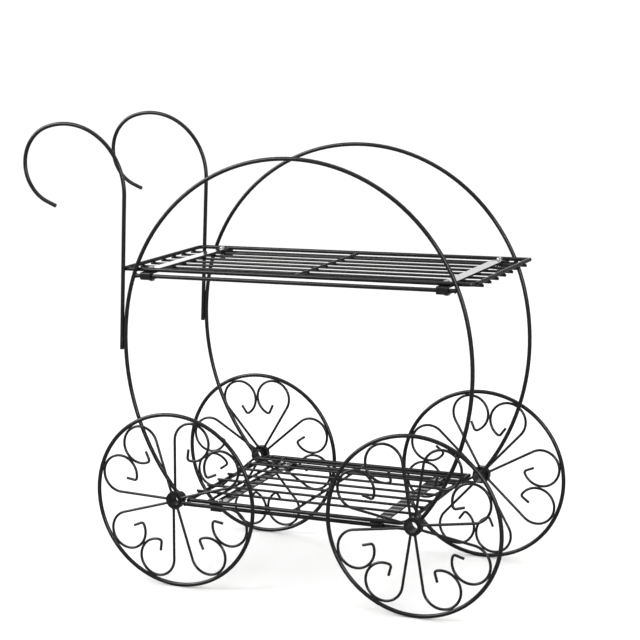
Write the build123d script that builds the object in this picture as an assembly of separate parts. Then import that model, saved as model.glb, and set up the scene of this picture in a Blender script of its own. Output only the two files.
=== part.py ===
from build123d import *
from math import asin, atan2, cos, degrees, radians, sin, sqrt, tan
import os

# Two-tier garden trolley bent and welded from round steel bar.
# +X is the front, the handles point to the back (-X), +Y is the left side, +Z is up.
# Millimetres. The origin is on the floor under the middle of the overall box.

# ---- Driving dimensions -------------------------------------------------------------------
BAR = 6.0               # arches, rails, handles, shelf rim rods and wheel rims
CROSS_BAR = 4.0         # rods welded across the shelves
WIRE = 4.0              # long shelf wires and wheel scrolls
FIT_UP = 0.03           # gap left between pieces that are welded or laid against each other

WHEEL_R = 133.0         # outside radius of a wheel, so also the height of its centre
WHEELBASE = 380.0
WHEEL_Y = 145.0         # middle plane of a wheel, from the trolley's middle plane
SIDE_Y = 126.0          # middle plane of a side frame: arch, rails and handle

ARCH_R = 272.0          # centre line of the arch's upper half
ARCH_Z = 368.8          # height of the arch's centre
LEG_START = 12.0        # degrees above level, from the arch's centre, where the legs begin
LOWER_RAIL_Z = 123.0

HANDLE_TILT = 3.96      # degrees, the shaft leans towards the arch as it rises
HANDLE_FOOT_Z = 353.0
HANDLE_SHAFT_TOP_Z = 582.0
HANDLE_CROWN_R = 98.8   # first, wider bend over the top
HANDLE_CROWN_SWEEP = 112.2
HANDLE_CURL_R = 59.6    # second, tighter bend that brings the grip back
HANDLE_CURL_SWEEP = 139.0
HANDLE_TIP = 15.0       # straight end of the grip

UPPER_HALF_LENGTH = 275.0   # upper shelf, middle to the centre line of an end rod
LOWER_HALF_LENGTH = 172.5
LOWER_HALF_WIDTH = 132.5    # lower shelf, middle to the centre line of a long rim rod
SHELF_CORNER_R = 12.0
UPPER_ROD_Z = 474.0         # height of the upper shelf's rim rods
ROD_OVERRUN = 2.0           # how far an end rod runs past the long rod that stops against it
WIRE_COUNT = 7
UPPER_WIRE_PITCH = 31.5
LOWER_WIRE_PITCH = 33.1
WIRE_OVERRUN = 4.0          # wire ends stick out past the end rods

STRAP_WIDTH = 18.0
STRAP_THICK = 3.0
UPPER_STRAP_X = 232.0
LOWER_STRAP_X = 129.0
STRAP_END_R = 3.0           # corner radius of the lower straps, which end under the rim rods

BOLT_D = 5.0
BOLT_HOLE_D = 5.6
BOLT_HEAD_D = 9.5
BOLT_HEAD_H = 3.6
BOLT_HEAD_ROUND = 2.7       # radius that domes the head
BOLT_TIP_CHAMFER = 0.6
UPPER_BOLT_Y = 112.0        # from the trolley's middle plane
LOWER_BOLT_Y = 116.0
BOLT_OVERRUN = 1.0          # thread left showing under the nut
NUT_ACROSS_FLATS = 8.0
NUT_H = 3.2

CLIP_THICK = 2.5
CLIP_WIDTH = 17.0
CLIP_MARGIN = 7.0           # from the bolt's centre to the clip's inner edge

AXLE_D = 19.2               # tube that the wheel turns on, welded to the arch and lower rail
AXLE_BORE_D = 16.0
COLLAR_D = 21.6             # raised ring on the axle tube that stops the hub on the inside
COLLAR_WIDTH = 2.0
HUB_D = 26.5
HUB_LENGTH = 9.0
HUB_OUTSET = 2.0            # from the wheel's middle plane to the hub's outer end
HUB_CLEARANCE = 0.06        # radial running clearance between axle tube and hub
HUB_END_PLAY = 0.3
CAP_D = 22.0                # push-on ring that keeps the wheel on its axle tube
CAP_THICK = 1.0
AXLE_LIP = 0.4              # axle tube left showing outside the ring

SCROLL_LOOP_R = 28.2        # centre line of a scroll's loop
SCROLL_SPOKE_ANGLE = 36.0   # degrees from the pair's axis to a scroll's straight part
SCROLL_SWEEP = 276.5
SCROLL_BEND_R = 4.0
SCROLL_TAIL = 12.5

# How far each wheel is turned at rest: degrees from +X towards +Z to one pair of scrolls.
WHEEL_TURN = {"front_right": 44.0, "rear_right": 52.0, "front_left": -7.7, "rear_left": 4.0}

# ---- Worked-out dimensions ----------------------------------------------------------------
HALF_BASE = WHEELBASE / 2
RIM_R = WHEEL_R - BAR / 2
HUB_OUTER_Y = WHEEL_Y + HUB_OUTSET
HUB_INNER_Y = HUB_OUTER_Y - HUB_LENGTH
SCROLL_CENTRE_R = RIM_R - BAR / 2 - FIT_UP - WIRE / 2 - SCROLL_LOOP_R   # loops touch the rim

# A leg is an arc that carries on smoothly from the arch and aims at the wheel's centre.
HUB_DROP = ARCH_Z - WHEEL_R
HUB_REACH = HALF_BASE * cos(radians(LEG_START)) - HUB_DROP * sin(radians(LEG_START))
LEG_R = (HALF_BASE**2 + HUB_DROP**2 + ARCH_R**2 - 2 * ARCH_R * HUB_REACH) / (2 * (ARCH_R - HUB_REACH))
LEG_CENTRE_X = (ARCH_R - LEG_R) * cos(radians(LEG_START))   # of the front leg
LEG_CENTRE_Z = ARCH_Z + (ARCH_R - LEG_R) * sin(radians(LEG_START))

# The handle's shaft touches the outside of the rear leg once, where both have one direction.
TILT = radians(HANDLE_TILT)
TOUCH_R = LEG_R + BAR + FIT_UP
TOUCH_X = -LEG_CENTRE_X - TOUCH_R * cos(TILT)
TOUCH_Z = LEG_CENTRE_Z + TOUCH_R * sin(TILT)

# The trolley is longest from the handles' curl to the front wheels.
SHAFT_TOP_X = TOUCH_X + (HANDLE_SHAFT_TOP_Z - TOUCH_Z) * tan(TILT)
CROWN_X = SHAFT_TOP_X - HANDLE_CROWN_R * cos(TILT)
CROWN_END = radians(HANDLE_CROWN_SWEEP) - TILT
CURL_X = CROWN_X + (HANDLE_CROWN_R - HANDLE_CURL_R) * cos(CROWN_END)
BACK_X = CURL_X - HANDLE_CURL_R - BAR / 2
FRONT_X = HALF_BASE + WHEEL_R
MIDDLE_X = (BACK_X + FRONT_X) / 2

SIDES = {"left": 1, "right": -1}
ENDS = {"front": 1, "rear": -1}

# Upper shelf: its long rods lie against the insides of the arches, its wires run under the rods,
# and its straps lie on the wires between the long rods. Its clips also go over the rails, and
# carry the straps and the long rods.
UPPER_STRAP_Z = UPPER_ROD_Z - BAR / 2
UPPER_HALF_WIDTH = SIDE_Y - BAR - FIT_UP
UPPER_RAIL_Z = UPPER_STRAP_Z - FIT_UP - CLIP_THICK - FIT_UP - BAR / 2
UPPER = {
    "half_length": UPPER_HALF_LENGTH,
    "half_width": UPPER_HALF_WIDTH,
    "wire_pitch": UPPER_WIRE_PITCH,
    "rod_z": UPPER_ROD_Z,
    "wire_z": UPPER_ROD_Z - BAR / 2 - WIRE / 2 - FIT_UP,
    "cross_z": UPPER_ROD_Z - BAR / 2 + CROSS_BAR / 2,
    "cross_x": UPPER_STRAP_X - STRAP_WIDTH / 2 - CROSS_BAR / 2 - FIT_UP,
    "strap_x": UPPER_STRAP_X,
    "strap_z": UPPER_STRAP_Z,
    "strap_half_span": UPPER_HALF_WIDTH - BAR / 2 - FIT_UP,
    "bolt_y": UPPER_BOLT_Y,
    "rail_z": UPPER_RAIL_Z,
    "clip_over_rail": True,
}
# The lower shelf is the other way up: straps lie on the rails, rods on the straps, wires on top.
LOWER_STRAP_Z = LOWER_RAIL_Z + BAR / 2 + FIT_UP
LOWER_ROD_Z = LOWER_STRAP_Z + STRAP_THICK + FIT_UP + BAR / 2
LOWER = {
    "half_length": LOWER_HALF_LENGTH,
    "half_width": LOWER_HALF_WIDTH,
    "wire_pitch": LOWER_WIRE_PITCH,
    "rod_z": LOWER_ROD_Z,
    "wire_z": LOWER_ROD_Z + BAR / 2 + WIRE / 2 + FIT_UP,
    "cross_z": LOWER_ROD_Z + BAR / 2 - CROSS_BAR / 2,
    "cross_x": LOWER_STRAP_X + STRAP_WIDTH / 2 + CROSS_BAR / 2 + FIT_UP,
    "strap_x": LOWER_STRAP_X,
    "strap_z": LOWER_STRAP_Z,
    "strap_half_span": LOWER_HALF_WIDTH + BAR / 2,
    "bolt_y": LOWER_BOLT_Y,
    "rail_z": LOWER_RAIL_Z,
    "clip_over_rail": False,
}


# ---- Small helpers ------------------------------------------------------------------------
def save(node, shape):
    """Move a shape so that the origin is under the middle of the box, and write its file."""
    export_step(Pos(-MIDDLE_X, 0, 0) * shape, f"parts/{node}.step")


def on_arc(centre, radius, angle):
    """Point on a circle in a plane, with the angle in degrees."""
    return Vector(centre.X + radius * cos(radians(angle)), centre.Y + radius * sin(radians(angle)))


def arc(centre, radius, start, sweep):
    """Circular edge from a start angle through a signed sweep, in degrees."""
    points = [on_arc(centre, radius, start + sweep * part) for part in (0, 0.5, 1)]
    return ThreePointArc(*points)


def round_bar(path, diameter):
    """Round bar along a path of straight and curved edges."""
    return sweep(Plane(path ^ 0) * Circle(diameter / 2), path=path)


def stand_up(shape, y):
    """Turn a shape drawn in the XY plane so that it stands in the XZ plane at a given Y."""
    return Plane(origin=(0, y, 0), x_dir=(1, 0, 0), z_dir=(0, -1, 0)) * shape


def straight_rod(diameter, length, centre, direction):
    """Round rod of a length, centred on a point, along a direction."""
    half = Vector(direction).normalized() * (length / 2)
    start = Vector(centre) - half
    return Plane(origin=start, z_dir=half) * Cylinder(
        diameter / 2, length, align=(Align.CENTER, Align.CENTER, Align.MIN)
    )


def group(solids):
    """Separate solids kept together in one node."""
    return Compound(children=list(solids))


# ---- Side frames --------------------------------------------------------------------------
def arch():
    """Horseshoe: half a circle whose legs carry on as wider arcs down to the axle tubes."""
    short_of_hub = degrees(asin((AXLE_D / 2 + FIT_UP) / LEG_R))
    to_hub = degrees(atan2(WHEEL_R - LEG_CENTRE_Z, HALF_BASE - LEG_CENTRE_X))
    leg_sweep = LEG_START - to_hub - short_of_hub
    front_leg = arc(Vector(LEG_CENTRE_X, LEG_CENTRE_Z), LEG_R, LEG_START - leg_sweep, leg_sweep)
    crown = arc(Vector(0, ARCH_Z), ARCH_R, LEG_START, 180 - 2 * LEG_START)
    rear_leg = arc(Vector(-LEG_CENTRE_X, LEG_CENTRE_Z), LEG_R, 180 - LEG_START, leg_sweep)
    return round_bar(Wire([front_leg, crown, rear_leg]), BAR)


def upper_rail_half_length():
    """The rail's square ends stop at the inside of the arch, which is nearest at the rail's top."""
    inner = ARCH_R - BAR / 2 - FIT_UP
    return sqrt(inner**2 - (UPPER_RAIL_Z + BAR / 2 - ARCH_Z) ** 2)


def lower_rail_half_length():
    """The rail's square ends stop at the axle tubes, which are nearest at the rail's top."""
    drop = WHEEL_R - LOWER_RAIL_Z - BAR / 2
    return HALF_BASE - sqrt((AXLE_D / 2 + FIT_UP) ** 2 - drop**2)


def handle():
    """Shaft against the arch, a wide bend over the top and a tighter curl back to the grip."""
    foot = Vector(TOUCH_X - (TOUCH_Z - HANDLE_FOOT_Z) * tan(TILT), HANDLE_FOOT_Z)
    shaft_top = Vector(SHAFT_TOP_X, HANDLE_SHAFT_TOP_Z)
    shaft = Line(foot, shaft_top)
    crown_centre = on_arc(shaft_top, HANDLE_CROWN_R, 180 - HANDLE_TILT)
    crown = arc(crown_centre, HANDLE_CROWN_R, -HANDLE_TILT, HANDLE_CROWN_SWEEP)
    crown_end = HANDLE_CROWN_SWEEP - HANDLE_TILT
    curl_centre = on_arc(crown_centre, HANDLE_CROWN_R - HANDLE_CURL_R, crown_end)
    curl = arc(curl_centre, HANDLE_CURL_R, crown_end, HANDLE_CURL_SWEEP)
    grip = Line(curl @ 1, curl @ 1 + (curl % 1) * HANDLE_TIP)
    return round_bar(Wire([shaft, crown, curl, grip]), BAR)


def side_frames():
    for side, sign in SIDES.items():
        y = sign * SIDE_Y
        save(f"arch_{side}", stand_up(arch(), y))
        save(f"handle_{side}", stand_up(handle(), y))
        upper_length = 2 * upper_rail_half_length()
        save(f"upper_rail_{side}", straight_rod(BAR, upper_length, (0, y, UPPER_RAIL_Z), (1, 0, 0)))
        lower_length = 2 * lower_rail_half_length()
        save(f"lower_rail_{side}", straight_rod(BAR, lower_length, (0, y, LOWER_RAIL_Z), (1, 0, 0)))


# ---- Shelves ------------------------------------------------------------------------------
def rim_rod(half_length, half_width, z):
    """Half of a shelf's rim: one long rod and one end rod, bent from a single bar.

    The long part stops square against the inside of the other half's end rod. The end part
    runs past the other half's long rod, which stops against it in the same way.
    """
    long_start = Vector(-half_length + BAR / 2 + FIT_UP, -half_width)
    long_end = Vector(half_length - SHELF_CORNER_R, -half_width)
    end_start = Vector(half_length, -half_width + SHELF_CORNER_R)
    end_tip = Vector(half_length, half_width + ROD_OVERRUN)
    corner = arc(Vector(long_end.X, end_start.Y), SHELF_CORNER_R, -90, 90)
    path = Wire([Line(long_start, long_end), corner, Line(end_start, end_tip)])
    return Pos(0, 0, z) * round_bar(path, BAR)


def strap(half_span, bolt_y):
    """Flat strap across a shelf with a bolt hole near each end."""
    outline = RectangleRounded(STRAP_WIDTH, 2 * half_span, STRAP_END_R)
    holes = [Pos(0, sign * bolt_y) * Circle(BOLT_HOLE_D / 2) for sign in (1, -1)]
    return extrude(outline - holes, STRAP_THICK)


def shelf(name, layout):
    """Rim rods, long wires, cross rods and straps of one shelf."""
    half_rim = rim_rod(layout["half_length"], layout["half_width"], layout["rod_z"])
    save(f"{name}_rim_rod_front", half_rim)
    save(f"{name}_rim_rod_rear", Rot(0, 0, 180) * half_rim)

    length = 2 * (layout["half_length"] + WIRE_OVERRUN)
    for number in range(1, WIRE_COUNT + 1):
        y = (number - (WIRE_COUNT + 1) / 2) * layout["wire_pitch"]
        save(f"{name}_wire_{number}", straight_rod(WIRE, length, (0, y, layout["wire_z"]), (1, 0, 0)))

    # One cross rod beside the rear strap and one across the middle.
    cross_length = 2 * (layout["half_width"] - BAR / 2 - FIT_UP)
    cross_rods = [
        straight_rod(CROSS_BAR, cross_length, (x, 0, layout["cross_z"]), (0, 1, 0))
        for x in (-layout["cross_x"], 0)
    ]
    save(f"{name}_cross_rods", group(cross_rods))

    flat = strap(layout["strap_half_span"], layout["bolt_y"])
    for end, sign in ENDS.items():
        save(f"{name}_strap_{end}", Pos(sign * layout["strap_x"], 0, layout["strap_z"]) * flat)


def clip(layout):
    """Clip bent round the outside of the side rail: a leg under it and, above, one over it."""
    low = layout["rail_z"] - BAR / 2 - FIT_UP - CLIP_THICK
    high = layout["strap_z"] - FIT_UP
    inner = layout["bolt_y"] - CLIP_MARGIN
    outer = SIDE_Y + BAR / 2 + FIT_UP + CLIP_THICK
    corner_at = (Align.CENTER, Align.MAX, Align.MIN)
    blank = Pos(0, outer, low) * Box(CLIP_WIDTH, CLIP_THICK, high - low, align=corner_at)
    blank += Pos(0, outer, low) * Box(CLIP_WIDTH, outer - inner, CLIP_THICK, align=corner_at)
    if layout["clip_over_rail"]:
        top_leg = Box(CLIP_WIDTH, outer - inner, CLIP_THICK, align=corner_at)
        blank += Pos(0, outer, high - CLIP_THICK) * top_leg
    outer_edges = blank.edges().filter_by(Axis.X).group_by(Axis.Y)[-1].sort_by(Axis.Z)
    bends = outer_edges if layout["clip_over_rail"] else outer_edges[:1]
    bent = fillet(bends, CLIP_THICK)
    hole = Pos(0, layout["bolt_y"], (low + high) / 2) * Cylinder(BOLT_HOLE_D / 2, 2 * (high - low))
    return bent - hole


def bolt(top_z, nut_z):
    """Domed bolt whose head sits on a strap and whose thread ends below its nut."""
    head = Pos(0, 0, top_z + FIT_UP) * Cylinder(
        BOLT_HEAD_D / 2, BOLT_HEAD_H, align=(Align.CENTER, Align.CENTER, Align.MIN)
    )
    head = fillet(head.edges().group_by(Axis.Z)[-1], BOLT_HEAD_ROUND)
    tip_z = nut_z - NUT_H - BOLT_OVERRUN
    shank = Pos(0, 0, tip_z) * Cylinder(
        BOLT_D / 2, top_z + FIT_UP - tip_z, align=(Align.CENTER, Align.CENTER, Align.MIN)
    )
    shank = chamfer(shank.edges().group_by(Axis.Z)[0], BOLT_TIP_CHAMFER)
    return head + shank


def nut(top_z):
    """Hexagon nut on the bolt's thread, bored a little wider than the bolt's crests."""
    outline = RegularPolygon(NUT_ACROSS_FLATS / 2, 6, major_radius=False)
    bore = Circle(BOLT_D / 2 + FIT_UP)
    return Pos(0, 0, top_z - NUT_H) * extrude(outline - bore, NUT_H)


def at_clips(strap_x, part):
    """One copy of a part at each of a shelf's four bolts, drawn for the front left one."""
    quarter = Pos(strap_x, 0, 0) * part
    left = [quarter, mirror(quarter, Plane.YZ)]
    return left + [mirror(each, Plane.XZ) for each in left]


def fastenings():
    """The clips, bolts and nuts that hold both shelves to the side frames."""
    nuts = []
    for name, layout in (("upper", UPPER), ("lower", LOWER)):
        strap_x = layout["strap_x"]
        at_bolt = Pos(0, layout["bolt_y"], 0)
        nut_top = layout["rail_z"] - BAR / 2 - FIT_UP - CLIP_THICK - FIT_UP
        strap_top = layout["strap_z"] + STRAP_THICK
        save(f"{name}_clips", group(at_clips(strap_x, clip(layout))))
        save(f"{name}_bolts", group(at_clips(strap_x, at_bolt * bolt(strap_top, nut_top))))
        nuts += at_clips(strap_x, at_bolt * nut(nut_top))
    save("nuts", group(nuts))


# ---- Axles and wheels ---------------------------------------------------------------------
def axle_tube(sign):
    """Open tube welded to the arch foot and lower rail, with a collar inside the wheel's hub."""
    inner = SIDE_Y
    collar_outer = HUB_INNER_Y - HUB_END_PLAY
    collar_inner = collar_outer - COLLAR_WIDTH
    tip = HUB_OUTER_Y + HUB_END_PLAY + CAP_THICK + AXLE_LIP
    outline = Polyline(
        (AXLE_BORE_D / 2, inner),
        (AXLE_D / 2, inner),
        (AXLE_D / 2, collar_inner),
        (COLLAR_D / 2, collar_inner),
        (COLLAR_D / 2, collar_outer),
        (AXLE_D / 2, collar_outer),
        (AXLE_D / 2, tip),
        (AXLE_BORE_D / 2, tip),
        close=True,
    )
    tube = revolve(make_face(outline), Axis.Y)
    return tube if sign > 0 else mirror(tube, Plane.XZ)


def axle_cap(sign):
    """Push-on ring on the axle tube, outside the wheel's hub."""
    ring = Circle(CAP_D / 2) - Circle(AXLE_D / 2 + FIT_UP)
    y = HUB_OUTER_Y + HUB_END_PLAY
    return Plane(origin=(0, sign * y, 0), z_dir=(0, sign, 0)) * extrude(ring, CAP_THICK)


def hub(sign):
    """Short tube that turns on the axle tube, mostly on the wheel's inner side."""
    ring = Circle(HUB_D / 2) - Circle(AXLE_D / 2 + HUB_CLEARANCE)
    return Plane(origin=(0, sign * HUB_INNER_Y, 0), z_dir=(0, sign, 0)) * extrude(ring, HUB_LENGTH)


def scroll(mirrored):
    """Spoke that starts on the hub, curls round near the rim and ends in a hooked tail.

    Drawn with the pair's axis along +X. The loop almost touches its mirror image on that axis.
    """
    centre_y = SCROLL_LOOP_R + WIRE / 2 + FIT_UP
    centre = Vector(sqrt(SCROLL_CENTRE_R**2 - centre_y**2), centre_y)
    along = Vector(cos(radians(SCROLL_SPOKE_ANGLE)), sin(radians(SCROLL_SPOKE_ANGLE)))
    inward = Vector(along.Y, -along.X)
    offset = centre.dot(inward) - SCROLL_LOOP_R
    nearest = offset - WIRE / 2
    start = sqrt((HUB_D / 2 + FIT_UP) ** 2 - nearest**2)
    spoke = Line(along * start + inward * offset, along * centre.dot(along) + inward * offset)
    loop = arc(centre, SCROLL_LOOP_R, SCROLL_SPOKE_ANGLE + 90, -SCROLL_SWEEP)
    end = SCROLL_SPOKE_ANGLE + 90 - SCROLL_SWEEP
    bend_centre = on_arc(centre, SCROLL_LOOP_R - SCROLL_BEND_R, end)
    bend = arc(bend_centre, SCROLL_BEND_R, end, -90)
    tail = Line(bend @ 1, bend @ 1 + (bend % 1) * SCROLL_TAIL)
    bar = round_bar(Wire([spoke, loop, bend, tail]), WIRE)
    return mirror(bar, Plane.XZ) if mirrored else bar


def wheels():
    """Four wheels of rim, hub and eight scrolls, each with its axle tube and ring."""
    caps = []
    for place, turn in WHEEL_TURN.items():
        end, side = place.split("_")
        sign = SIDES[side]
        centre = Pos(ENDS[end] * HALF_BASE, 0, WHEEL_R)
        scrolls = [
            centre * stand_up(Rot(0, 0, turn + quarter * 90) * scroll(mirrored), sign * WHEEL_Y)
            for quarter in range(4)
            for mirrored in (False, True)
        ]
        save(f"wheel_rim_{place}", centre * stand_up(Torus(RIM_R, BAR / 2), sign * WHEEL_Y))
        save(f"wheel_hub_{place}", centre * hub(sign))
        save(f"wheel_scrolls_{place}", group(scrolls))
        save(f"axle_tube_{place}", centre * axle_tube(sign))
        caps.append(centre * axle_cap(sign))
    save("axle_caps", group(caps))


# ---- Build --------------------------------------------------------------------------------
os.makedirs("parts", exist_ok=True)
side_frames()
shelf("upper", UPPER)
shelf("lower", LOWER)
fastenings()
wheels()
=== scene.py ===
import math
import random

import bpy
import bmesh
import numpy as np
from mathutils import Matrix, Vector, noise


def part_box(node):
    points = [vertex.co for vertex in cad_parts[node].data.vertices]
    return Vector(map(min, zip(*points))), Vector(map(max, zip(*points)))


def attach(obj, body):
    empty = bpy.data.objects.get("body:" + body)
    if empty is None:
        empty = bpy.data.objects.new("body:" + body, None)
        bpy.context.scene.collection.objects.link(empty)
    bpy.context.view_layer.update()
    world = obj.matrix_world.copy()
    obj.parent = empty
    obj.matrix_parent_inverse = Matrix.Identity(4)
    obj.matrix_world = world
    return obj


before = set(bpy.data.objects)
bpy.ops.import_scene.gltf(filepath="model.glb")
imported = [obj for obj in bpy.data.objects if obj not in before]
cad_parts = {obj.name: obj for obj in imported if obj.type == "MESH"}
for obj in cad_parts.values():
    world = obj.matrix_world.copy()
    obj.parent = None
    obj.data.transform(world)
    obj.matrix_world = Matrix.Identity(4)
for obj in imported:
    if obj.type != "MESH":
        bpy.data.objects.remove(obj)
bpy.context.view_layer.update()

# Looks for the plant trolley: black powder coat, zinc-plated bolts and weld beads.
# Metres, in the row frame: +X is the front, +Y the left side, +Z up.

ACROSS = Vector((0, 1, 0))     # from side to side, along the wheels' axles

# ---- Sizes that the CAD part has ----------------------------------------------------------
BAR_R = 0.003                  # arches, rails, handles, shelf rims and wheel rims
CROSS_R = 0.002                # rods across the shelves
WIRE_R = 0.002                 # shelf wires and wheel scrolls
SHAFT_TOP_Z = 0.582            # where a handle's straight shaft ends

# ---- Weld beads: length, width and thickness ----------------------------------------------
RIPPLE = 0.0016                # spacing of the ripples along a bead
LUMPINESS = 0.2                # how far a bead swells and shrinks, as a part of its size
RIPPLE_DEPTH = 0.05
WIRE_ON_ROD_BEAD = (0.0062, 0.0056, 0.0022)
WIRE_ON_CROSS_BEAD = (0.0052, 0.0054, 0.0020)
CROSS_END_BEAD = (0.0056, 0.0030, 0.0046)
ROD_END_BEAD = (0.0072, 0.0028, 0.0066)
STRAP_END_BEAD = (0.013, 0.0026, 0.0022)
RAIL_END_BEADS = {"upper_rail": (0.0074, 0.0074, 0.0034), "lower_rail": (0.0072, 0.0072, 0.0034)}
ARCH_FOOT_BEAD = (0.0078, 0.0074, 0.0036)
LAP_RUNS = ((0.007, 0.017), (0.028, 0.038))   # starts and ends, up the shaft from its foot
LAP_BEAD_WIDTH = 0.0030
LAP_BEAD_OVERRUN = 0.003       # a bead's rounded ends run past its run by this much together
LAP_BEAD_Y = 0.0019            # from the side frame's middle plane
LAP_BEAD_SHIFT = 0.00005       # from the shaft's surface towards the arch
SCROLL_START_BEAD = (0.0040, 0.0050, 0.0052)
SCROLL_RIM_BEAD = (0.0056, 0.0046, 0.0056)
SCROLL_PAIR_BEAD = (0.0060, 0.0042, 0.0046)
HUB_END_R = 0.04               # scrolls' hub ends lie inside this radius, their loops outside
PAIR_GAP = 0.0012              # loops nearer than this are welded to each other

# ---- Spots read from the CAD meshes: how deep a band of vertices each one takes ------------
ARCH_FOOT_BAND = 0.0008
HANDLE_FOOT_BAND = 0.0005
SHAFT_TOP_BAND = 0.0004        # above and below SHAFT_TOP_Z
SCROLL_START_BAND = 0.0012
SCROLL_RIM_BAND = 0.00012
CELLS_PER_METRE = 1e6          # vertices that share a cell of this grid count as one

# ---- Node names ---------------------------------------------------------------------------
PLACES = ("front_left", "front_right", "rear_left", "rear_right")
SIDES = ("left", "right")
ENDS = ("front", "rear")
SHELVES = ("upper", "lower")

# ---- Studio and camera --------------------------------------------------------------------
TARGET = (0.0, 0.0, 0.4)       # middle of the trolley, roughly
FLOOR_HALF_WIDTH = 10.0
FLOOR_NEAR_Y = -9.0
FLOOR_FAR_Y = 3.0              # where the floor starts to curve up
BACKDROP_BEND_R = 2.0
BACKDROP_BEND_STEPS = 16
BACKDROP_TOP_Z = 6.0
SURROUNDINGS = 1.1             # brightness of the world, 1 being white
BACK_PANEL_FACING = (0.95, -1.98, -0.38)   # close to the sight line mirrored in a level strap
MIRRORED_LOW = 0.12            # brightness that the metal mirrors from the sides
MIRRORED_HIGH = 0.35           # and from overhead
CAMERA_FROM_WHEELS = (1.04508, -2.27235, 0.84674)   # from the floor, midway between the wheels
CAMERA_YAW = 24.945            # degrees
CAMERA_PITCH = 10.345
CAMERA_ROLL = -1.440
SENSOR_MM = 36.0
LENS_MM = 96.17
VIEW_DEPTH = 60


# ---- Node trees ---------------------------------------------------------------------------
class Nodes:
    """Adds nodes to the node tree of a material or world, and links them."""

    def __init__(self, tree):
        self.tree = tree

    def add(self, kind, inputs=None, **settings):
        """A node with its settings, and each given input set to a value or linked to a socket."""
        node = self.tree.nodes.new(kind)
        for name, value in settings.items():
            setattr(node, name, value)
        for name, value in (inputs or {}).items():
            if isinstance(value, bpy.types.NodeSocket):
                self.tree.links.new(value, node.inputs[name])
            else:
                node.inputs[name].default_value = value
        return node

    def object_coords(self):
        return self.add("ShaderNodeTexCoord").outputs["Object"]

    def stretched(self, coords, scale):
        return self.add("ShaderNodeMapping", {"Scale": scale, "Vector": coords}).outputs["Vector"]

    def noise(self, coords, scale, detail, roughness=0.5):
        inputs = {"Scale": scale, "Detail": detail, "Roughness": roughness, "Vector": coords}
        return self.add("ShaderNodeTexNoise", inputs).outputs["Fac"]

    def remap(self, value, low, high, to_low, to_high):
        inputs = {"From Min": low, "From Max": high, "To Min": to_low, "To Max": to_high}
        return self.add("ShaderNodeMapRange", {**inputs, "Value": value}).outputs["Result"]

    def combine(self, operation, a, b):
        return self.add("ShaderNodeMath", {0: a, 1: b}, operation=operation).outputs["Value"]

    def mix_colour(self, factor, a, b):
        a, b = (value + (1.0,) if isinstance(value, tuple) else value for value in (a, b))
        node = self.add("ShaderNodeMix", {"Factor": factor, "A": a, "B": b}, data_type="RGBA")
        return node.outputs["Result"]

    def height_of(self, vector):
        """The Z part of a direction, from -1 to 1."""
        return self.add("ShaderNodeSeparateXYZ", {"Vector": vector}).outputs["Z"]

    def facing_up(self):
        """Height of the surface normal, from -1 to 1."""
        return self.height_of(self.add("ShaderNodeNewGeometry").outputs["Normal"])

    def bump(self, height, strength, distance):
        inputs = {"Strength": strength, "Distance": distance, "Height": height}
        return self.add("ShaderNodeBump", inputs).outputs["Normal"]

    def shine(self, colour, roughness, normal, **others):
        """A Principled surface; other inputs are given by name with underscores for spaces."""
        inputs = {name.replace("_", " "): value for name, value in others.items()}
        inputs.update({"Base Color": colour, "Roughness": roughness, "Normal": normal})
        return self.add("ShaderNodeBsdfPrincipled", inputs).outputs["BSDF"]


def new_material(name):
    """An empty material and the helper that adds nodes to it."""
    material = bpy.data.materials.new(name)
    material.use_nodes = True
    material.node_tree.nodes.clear()
    return material, Nodes(material.node_tree)


def dress(obj, material):
    obj.data.materials.clear()
    obj.data.materials.append(material)


# ---- Materials ----------------------------------------------------------------------------
def powder_coat(name, roughness, specular, gloss_coat):
    """Semi-gloss black powder coat: orange peel, slow sheen changes, scuffs and a little dust."""
    material, nodes = new_material(name)
    coords = nodes.object_coords()
    tone = nodes.noise(coords, 26, 4)
    peel = nodes.noise(coords, 780, 2)
    drift = nodes.noise(coords, 130, 3)
    scuff_field = nodes.noise(nodes.stretched(coords, (1, 1, 5)), 170, 6, 0.7)
    scuff = nodes.remap(scuff_field, 0.66, 0.74, 0, 1)
    dust_field = nodes.noise(coords, 520, 7, 0.75)
    dust_grain = nodes.remap(dust_field, 0.5, 0.72, 0, 1)
    dust_top = nodes.remap(nodes.facing_up(), 0.35, 1.0, 0, 0.16)
    dust = nodes.combine("MULTIPLY", dust_grain, dust_top)

    black = nodes.mix_colour(tone, (0.0032, 0.0034, 0.0037), (0.0078, 0.008, 0.0084))
    scuffed = nodes.mix_colour(nodes.combine("MULTIPLY", scuff, 0.5), black, (0.04, 0.04, 0.042))
    colour = nodes.mix_colour(dust, scuffed, (0.22, 0.21, 0.19))

    rough = nodes.remap(drift, 0.3, 0.7, roughness - 0.05, roughness + 0.07)
    rough = nodes.combine("ADD", rough, nodes.combine("MULTIPLY", scuff, 0.14))
    rough = nodes.combine("ADD", rough, nodes.combine("MULTIPLY", dust, 1.0))

    height = nodes.combine("MULTIPLY", peel, 0.55)
    height = nodes.combine("ADD", height, nodes.combine("MULTIPLY", drift, 0.8))
    height = nodes.combine("SUBTRACT", height, nodes.combine("MULTIPLY", scuff, 0.2))
    surface = nodes.shine(
        colour,
        rough,
        nodes.bump(height, 0.35, 0.00022),
        Specular_IOR_Level=specular,
        Coat_Weight=gloss_coat,
        Coat_Roughness=0.09,
    )
    nodes.add("ShaderNodeOutputMaterial", {"Surface": surface})
    return material


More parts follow.
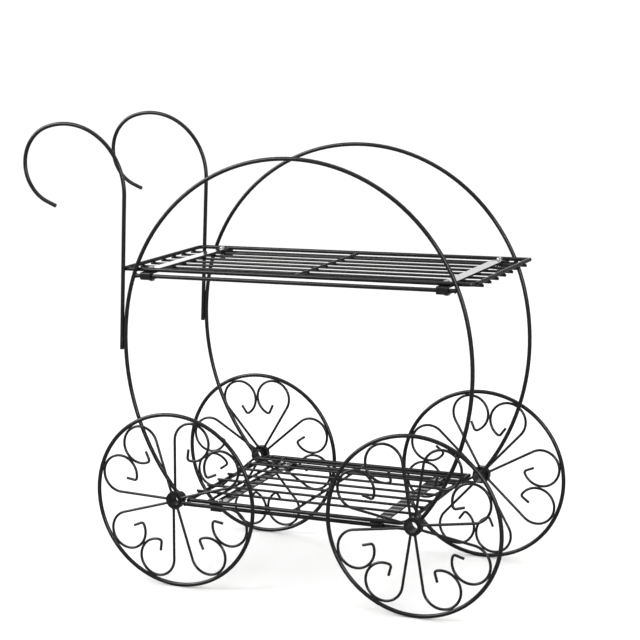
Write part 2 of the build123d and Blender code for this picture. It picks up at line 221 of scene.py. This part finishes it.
def zinc_plate(name, thread):
    """Bright zinc plating with fine tool marks and cloudy patches; bolts also get a thread."""
    material, nodes = new_material(name)
    coords = nodes.object_coords()
    cloud = nodes.noise(coords, 210, 5, 0.6)
    marks = nodes.noise(nodes.stretched(coords, (1, 1, 8)), 1500, 3)
    stain = nodes.remap(nodes.noise(coords, 430, 6, 0.7), 0.62, 0.72, 0, 0.6)
    metal = nodes.mix_colour(cloud, (0.58, 0.59, 0.61), (0.36, 0.37, 0.39))
    colour = nodes.mix_colour(stain, metal, (0.33, 0.31, 0.27))
    rough = nodes.remap(cloud, 0.3, 0.7, 0.2, 0.38)
    rough = nodes.combine("ADD", rough, nodes.combine("MULTIPLY", stain, 0.3))
    height = nodes.combine("MULTIPLY", marks, 0.25)
    if thread:
        wave = {"Scale": 390, "Vector": coords}
        ridges = nodes.add("ShaderNodeTexWave", wave, wave_type="BANDS", bands_direction="Z")
        tilt = nodes.combine("ABSOLUTE", nodes.facing_up(), 0)
        upright = nodes.remap(tilt, 0.2, 0.4, 1, 0)
        ridge = nodes.combine("MULTIPLY", ridges.outputs["Fac"], upright)
        height = nodes.combine("ADD", height, ridge)
    surface = nodes.shine(colour, rough, nodes.bump(height, 0.5, 0.00025), Metallic=1.0)
    nodes.add("ShaderNodeOutputMaterial", {"Surface": surface})
    return material


def paper_floor(name):
    """Pale studio paper with a faint tooth, which the metal mirrors as a dim grey."""
    material, nodes = new_material(name)
    coords = nodes.object_coords()
    tone = nodes.noise(coords, 1.5, 3)
    tooth = nodes.noise(coords, 300, 3)
    colour = nodes.mix_colour(tone, (0.91, 0.91, 0.905), (0.94, 0.94, 0.935))
    paper = nodes.shine(colour, 0.85, nodes.bump(tooth, 0.08, 0.0005), Specular_IOR_Level=0.2)
    dim = nodes.add("ShaderNodeBsdfDiffuse", {"Color": (0.2, 0.2, 0.2, 1)}).outputs["BSDF"]
    mirrored = nodes.add("ShaderNodeLightPath").outputs["Is Glossy Ray"]
    mix = nodes.add("ShaderNodeMixShader", {"Fac": mirrored, 1: paper, 2: dim})
    nodes.add("ShaderNodeOutputMaterial", {"Surface": mix.outputs["Shader"]})
    return material


def dress_cad_nodes():
    """Zinc on bolts and nuts, a glossier coat on the straps, black powder coat on the rest."""
    bar_coat = powder_coat("black_powder_coat", 0.38, 0.22, 0.5)
    looks = {
        "upper_bolts": zinc_plate("zinc_bolts", True),
        "nuts": zinc_plate("zinc_nuts", False),
    }
    looks["lower_bolts"] = looks["upper_bolts"]
    strap_coat = powder_coat("black_powder_coat_flat", 0.15, 0.9, 1.0)
    for shelf in SHELVES:
        for end in ENDS:
            looks[f"{shelf}_strap_{end}"] = strap_coat
    for node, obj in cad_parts.items():
        dress(obj, looks.get(node, bar_coat))


# ---- Reading the CAD nodes ----------------------------------------------------------------
def points_of(node):
    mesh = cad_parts[node].data
    points = np.empty(len(mesh.vertices) * 3, np.float32)
    mesh.vertices.foreach_get("co", points)
    return points.reshape(-1, 3).astype(float)


def solids_of(node):
    """Vertex positions of each separate solid in a node."""
    points = points_of(node)
    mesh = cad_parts[node].data
    edges = np.empty(len(mesh.edges) * 2, np.int32)
    mesh.edges.foreach_get("vertices", edges)
    cells = np.round(points * CELLS_PER_METRE).astype(np.int64)
    keys, same = np.unique(cells, axis=0, return_inverse=True)
    edges = same.reshape(-1)[edges.reshape(-1, 2)]
    label = np.arange(len(keys))
    while True:
        lowest = np.minimum(label[edges[:, 0]], label[edges[:, 1]])
        after = label.copy()
        np.minimum.at(after, edges[:, 0], lowest)
        np.minimum.at(after, edges[:, 1], lowest)
        after = after[after]
        if (after == label).all():
            break
        label = after
    places = keys / CELLS_PER_METRE
    return [places[label == one] for one in np.unique(label)]


def centre_of(node):
    low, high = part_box(node)
    return (low + high) / 2


def middle_of(points, y=None):
    """Mean of some points, moved to Y where one is given."""
    middle = Vector(points.mean(axis=0))
    if y is not None:
        middle.y = y
    return middle


# ---- Weld beads ---------------------------------------------------------------------------
def unit_sphere():
    """Points and triangles of a small round ball that every bead is shaped from."""
    mesh = bmesh.new()
    bmesh.ops.create_icosphere(mesh, subdivisions=3, radius=1.0)
    points = [vert.co.copy() for vert in mesh.verts]
    triangles = [[vert.index for vert in face.verts] for face in mesh.faces]
    mesh.free()
    return points, triangles


BALL_POINTS, BALL_TRIANGLES = unit_sphere()


class Beads:
    """Weld beads that ride on one CAD body, kept in one mesh."""

    def __init__(self, body):
        self.body = body
        self.points = []
        self.triangles = []
        self.random = random.Random(body)

    def lump(self, at, along, size, across=None):
        """A weld bead: a lumpy rippled ellipsoid, long in one direction."""
        length, width, thickness = size
        along = Vector(along).normalized()
        if across is None:
            across = ACROSS if abs(along.y) < 0.9 else (1, 0, 0)
        side = Vector(across) - along * Vector(across).dot(along)
        side.normalize()
        up = along.cross(side)
        seed = Vector([self.random.uniform(0, 50) for _ in range(3)])
        phase = self.random.uniform(0, 2 * math.pi)
        ripples = math.pi * length / RIPPLE
        first = len(self.points)
        for unit in BALL_POINTS:
            swell = 1 + LUMPINESS * noise.noise(unit * 1.7 + seed)
            swell += RIPPLE_DEPTH * math.cos(unit.x * ripples + phase + unit.y * 1.2)
            self.points.append(
                Vector(at)
                + along * (unit.x * swell * length / 2)
                + side * (unit.y * swell * width / 2)
                + up * (unit.z * swell * thickness / 2)
            )
        self.triangles += [[first + index for index in triangle] for triangle in BALL_TRIANGLES]

    def finish(self, name, material):
        """Make the mesh, with the CAD body that it moves with and the slot that it belongs to."""
        data = bpy.data.meshes.new(name)
        data.from_pydata(self.points, [], self.triangles)
        data.polygons.foreach_set("use_smooth", [True] * len(data.polygons))
        obj = bpy.data.objects.new(name, data)
        bpy.context.scene.collection.objects.link(obj)
        dress(obj, material)
        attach(obj, self.body)


def shelf_welds(beads, shelf):
    """Spots where wires cross the rods, and beads where rods and straps end on the rim."""
    front_rod_low, front_rod_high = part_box(f"{shelf}_rim_rod_front")
    rear_rod_low, rear_rod_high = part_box(f"{shelf}_rim_rod_rear")
    cross_low, cross_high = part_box(f"{shelf}_cross_rods")
    rod_z = (front_rod_low.z + front_rod_high.z) / 2
    end_xs = (front_rod_high.x - BAR_R, rear_rod_low.x + BAR_R)
    cross_xs = (cross_low.x + CROSS_R, cross_high.x - CROSS_R)
    wires = [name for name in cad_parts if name.startswith(f"{shelf}_wire_")]
    for wire in wires:
        middle = centre_of(wire)
        seam_z = middle.z + math.copysign(WIRE_R, rod_z - middle.z)
        for x in end_xs:
            beads.lump((x, middle.y, seam_z), (1, 0, 0), WIRE_ON_ROD_BEAD)
        for x in cross_xs:
            beads.lump((x, middle.y, seam_z), (1, 0, 0), WIRE_ON_CROSS_BEAD)
    cross_z = (cross_low.z + cross_high.z) / 2
    for x in cross_xs:
        for y in (cross_low.y, cross_high.y):
            beads.lump((x, y, cross_z), (1, 0, 0), CROSS_END_BEAD)
    # Each long rod stops against the inside of the other rim rod's end part.
    front_long = (rear_rod_low.x + 2 * BAR_R, front_rod_low.y + BAR_R, rod_z)
    rear_long = (front_rod_high.x - 2 * BAR_R, rear_rod_high.y - BAR_R, rod_z)
    for long_end in (front_long, rear_long):
        beads.lump(long_end, ACROSS, ROD_END_BEAD, (1, 0, 0))
    # An upper strap ends between the long rods, a lower one under them.
    for end in ENDS:
        low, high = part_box(f"{shelf}_strap_{end}")
        x = (low.x + high.x) / 2
        if shelf == "upper":
            spots = ((low.y, low.z), (high.y, low.z))
        else:
            spots = ((front_rod_low.y + 2 * BAR_R, high.z), (rear_rod_high.y - 2 * BAR_R, high.z))
        for y, z in spots:
            beads.lump((x, y, z), (1, 0, 0), STRAP_END_BEAD)


def rail_welds(beads, side):
    """Beads at both ends of a side's two rails."""
    for rail, size in RAIL_END_BEADS.items():
        low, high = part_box(f"{rail}_{side}")
        y, z = (low.y + high.y) / 2, (low.z + high.z) / 2
        for x in (low.x, high.x):
            beads.lump((x, y, z), (0, 0, 1), size, ACROSS)


def arch_foot_welds(beads, side):
    """Beads where an arch's two feet meet the axle tubes."""
    arch = points_of(f"arch_{side}")
    side_y = centre_of(f"arch_{side}").y
    for end in ENDS:
        axle = centre_of(f"wheel_rim_{end}_{side}")
        away = np.linalg.norm(arch - np.array((axle.x, side_y, axle.z)), axis=1)
        foot = middle_of(arch[away < away.min() + ARCH_FOOT_BAND], side_y)
        leg = Vector((foot.x - axle.x, 0, foot.z - axle.z))
        beads.lump(foot, leg.cross(ACROSS), ARCH_FOOT_BEAD, ACROSS)


def handle_lap_welds(beads, side):
    """Short runs of weld in the valleys between a handle's shaft and its arch."""
    side_y = centre_of(f"arch_{side}").y
    handle = points_of(f"handle_{side}")
    heights = handle[:, 2]
    foot = middle_of(handle[heights < heights.min() + HANDLE_FOOT_BAND])
    shaft = middle_of(handle[np.abs(heights - SHAFT_TOP_Z) < SHAFT_TOP_BAND]) - foot
    shaft.normalize()
    beside = shaft.cross(ACROSS)
    if beside.x < 0:
        beside.negate()
    for face in (1, -1):
        for start, end in LAP_RUNS:
            spot = foot + shaft * ((start + end) / 2) + beside * (BAR_R + LAP_BEAD_SHIFT)
            spot.y = side_y + face * LAP_BEAD_Y
            size = (end - start + LAP_BEAD_OVERRUN, LAP_BEAD_WIDTH, LAP_BEAD_WIDTH)
            beads.lump(spot, shaft, size)


def wheel_welds(beads, place):
    """Beads at each scroll's hub end, where its loop meets the rim, and between paired loops."""
    hub = centre_of(f"wheel_rim_{place}")

    def out_from_hub(spot):
        return Vector((spot.x - hub.x, 0, spot.z - hub.z))

    def reach(points):
        return np.hypot(points[:, 0] - hub.x, points[:, 2] - hub.z)

    scrolls = solids_of(f"wheel_scrolls_{place}")
    for points in scrolls:
        away = reach(points)
        start = middle_of(points[away < away.min() + SCROLL_START_BAND], hub.y)
        beads.lump(start, out_from_hub(start), SCROLL_START_BEAD, ACROSS)
        at_rim = middle_of(points[away > away.max() - SCROLL_RIM_BAND], hub.y)
        beads.lump(at_rim, out_from_hub(at_rim).cross(ACROSS), SCROLL_RIM_BEAD, ACROSS)
    loops = [points[reach(points) > HUB_END_R] for points in scrolls]
    for number, one in enumerate(loops):
        for other in loops[number + 1:]:
            gap = np.linalg.norm(one[:, None, :] - other[None, :, :], axis=2)
            if gap.min() > PAIR_GAP:
                continue
            i, j = np.unravel_index(gap.argmin(), gap.shape)
            spot = Vector((one[i] + other[j]) / 2)
            spot.y = hub.y
            beads.lump(spot, out_from_hub(spot), SCROLL_PAIR_BEAD, ACROSS)


def weld_everything():
    """One piece of weld beads for the frame and one for each wheel."""
    weld_coat = powder_coat("black_powder_coat_weld", 0.36, 0.4, 0.1)
    frame_beads = Beads("frame")
    for shelf in SHELVES:
        shelf_welds(frame_beads, shelf)
    for side in SIDES:
        rail_welds(frame_beads, side)
        arch_foot_welds(frame_beads, side)
        handle_lap_welds(frame_beads, side)
    frame_beads.finish("weld_beads_frame", weld_coat)
    for place in PLACES:
        wheel_beads = Beads(f"wheel_{place}")
        wheel_welds(wheel_beads, place)
        wheel_beads.finish(f"weld_beads_{place}", weld_coat)


# ---- Studio -------------------------------------------------------------------------------
def sweep_floor():
    """Pale floor that curves up into a backdrop behind the trolley."""
    profile = [(FLOOR_NEAR_Y, 0.0), (FLOOR_FAR_Y, 0.0)]
    for step in range(1, BACKDROP_BEND_STEPS + 1):
        angle = step / BACKDROP_BEND_STEPS * math.pi / 2
        y = FLOOR_FAR_Y + BACKDROP_BEND_R * math.sin(angle)
        profile.append((y, BACKDROP_BEND_R * (1 - math.cos(angle))))
    profile.append((FLOOR_FAR_Y + BACKDROP_BEND_R, BACKDROP_TOP_Z))
    corners, faces = [], []
    for y, z in profile:
        corners += [(-FLOOR_HALF_WIDTH, y, z), (FLOOR_HALF_WIDTH, y, z)]
    for row in range(len(profile) - 1):
        faces.append((2 * row, 2 * row + 1, 2 * row + 3, 2 * row + 2))
    data = bpy.data.meshes.new("studio_sweep")
    data.from_pydata(corners, [], faces)
    data.polygons.foreach_set("use_smooth", [True] * len(data.polygons))
    obj = bpy.data.objects.new("studio_sweep", data)
    bpy.context.scene.collection.objects.link(obj)
    dress(obj, paper_floor("studio_paper"))


def studio_world():
    """White surroundings; metal sees them dark at the sides and brighter overhead."""
    world = bpy.data.worlds.new("studio")
    world.use_nodes = True
    nodes = Nodes(world.node_tree)
    height = nodes.height_of(nodes.add("ShaderNodeTexCoord").outputs["Generated"])
    mirrored = nodes.remap(height, 0.1, 0.95, MIRRORED_LOW, MIRRORED_HIGH)
    is_mirrored = nodes.add("ShaderNodeLightPath").outputs["Is Glossy Ray"]
    mix = nodes.add("ShaderNodeMix", {"Factor": is_mirrored, "A": SURROUNDINGS, "B": mirrored})
    background = world.node_tree.nodes["Background"]
    background.inputs["Color"].default_value = (1, 1, 1, 1)
    world.node_tree.links.new(mix.outputs["Result"], background.inputs["Strength"])
    bpy.context.scene.world = world


def area_light(name, at, aim, size, brightness, mirrored_only=False):
    """Soft rectangular light; brightness is its radiance, 1 being the white of the paper."""
    data = bpy.data.lights.new(name, "AREA")
    data.shape = "RECTANGLE"
    data.size, data.size_y = size
    data.energy = brightness * math.pi * size[0] * size[1]
    obj = bpy.data.objects.new(name, data)
    obj.location = at
    obj.rotation_euler = (Vector(aim) - Vector(at)).to_track_quat("-Z", "Y").to_euler()
    obj.visible_camera = not mirrored_only
    obj.visible_diffuse = not mirrored_only
    bpy.context.scene.collection.objects.link(obj)


def studio_lights():
    area_light("key", (-1.7, -2.1, 2.5), TARGET, (1.2, 1.2), 7.0)
    area_light("fill", (2.6, -0.9, 1.3), TARGET, (0.5, 1.8), 4.0)
    area_light("top", (0.2, 0.3, 3.0), TARGET, (2.0, 2.0), 1.5)
    # Low panels behind the trolley that the flat straps and the tops of the rods mirror.
    for name, at, size, brightness in (
        ("back_panel_left", (-1.8, 1.55, 0.85), (1.5, 0.8), 1.3),
        ("back_panel_right", (-0.37, 2.27, 0.85), (1.7, 0.8), 0.85),
    ):
        aim = [place + step for place, step in zip(at, BACK_PANEL_FACING)]
        area_light(name, at, aim, size, brightness, True)
    # Narrow strips that draw thin bright lines along the bars.
    area_light("strip_left", (-2.3, -1.3, 1.9), TARGET, (0.8, 1.8), 15.0, True)
    area_light("strip_right", (1.9, -2.0, 1.2), TARGET, (0.35, 1.6), 22.0, True)


def photo_camera():
    """Camera at the photo's viewing angle, placed from the middle of the four wheels."""
    middle_x = sum(centre_of(f"wheel_rim_{place}").x for place in PLACES) / len(PLACES)
    yaw, pitch, roll = (math.radians(a) for a in (CAMERA_YAW, CAMERA_PITCH, CAMERA_ROLL))
    flat = math.cos(pitch)
    forward = Vector((-math.sin(yaw) * flat, math.cos(yaw) * flat, -math.sin(pitch)))
    level = forward.cross(Vector((0, 0, 1))).normalized()
    above = level.cross(forward)
    right = level * math.cos(roll) + above * math.sin(roll)
    up = above * math.cos(roll) - level * math.sin(roll)
    data = bpy.data.cameras.new("camera")
    data.sensor_width = SENSOR_MM
    data.lens = LENS_MM
    data.clip_end = VIEW_DEPTH
    obj = bpy.data.objects.new("camera", data)
    turn = Matrix((right, up, -forward)).transposed().to_4x4()
    forwards, sideways, height = CAMERA_FROM_WHEELS
    place = (middle_x + forwards, sideways, height)
    obj.matrix_world = Matrix.Translation(place) @ turn
    bpy.context.scene.collection.objects.link(obj)
    bpy.context.scene.camera = obj


dress_cad_nodes()
weld_everything()
sweep_floor()
studio_world()
studio_lights()
photo_camera()
bpy.context.scene.view_settings.view_transform = "Standard"
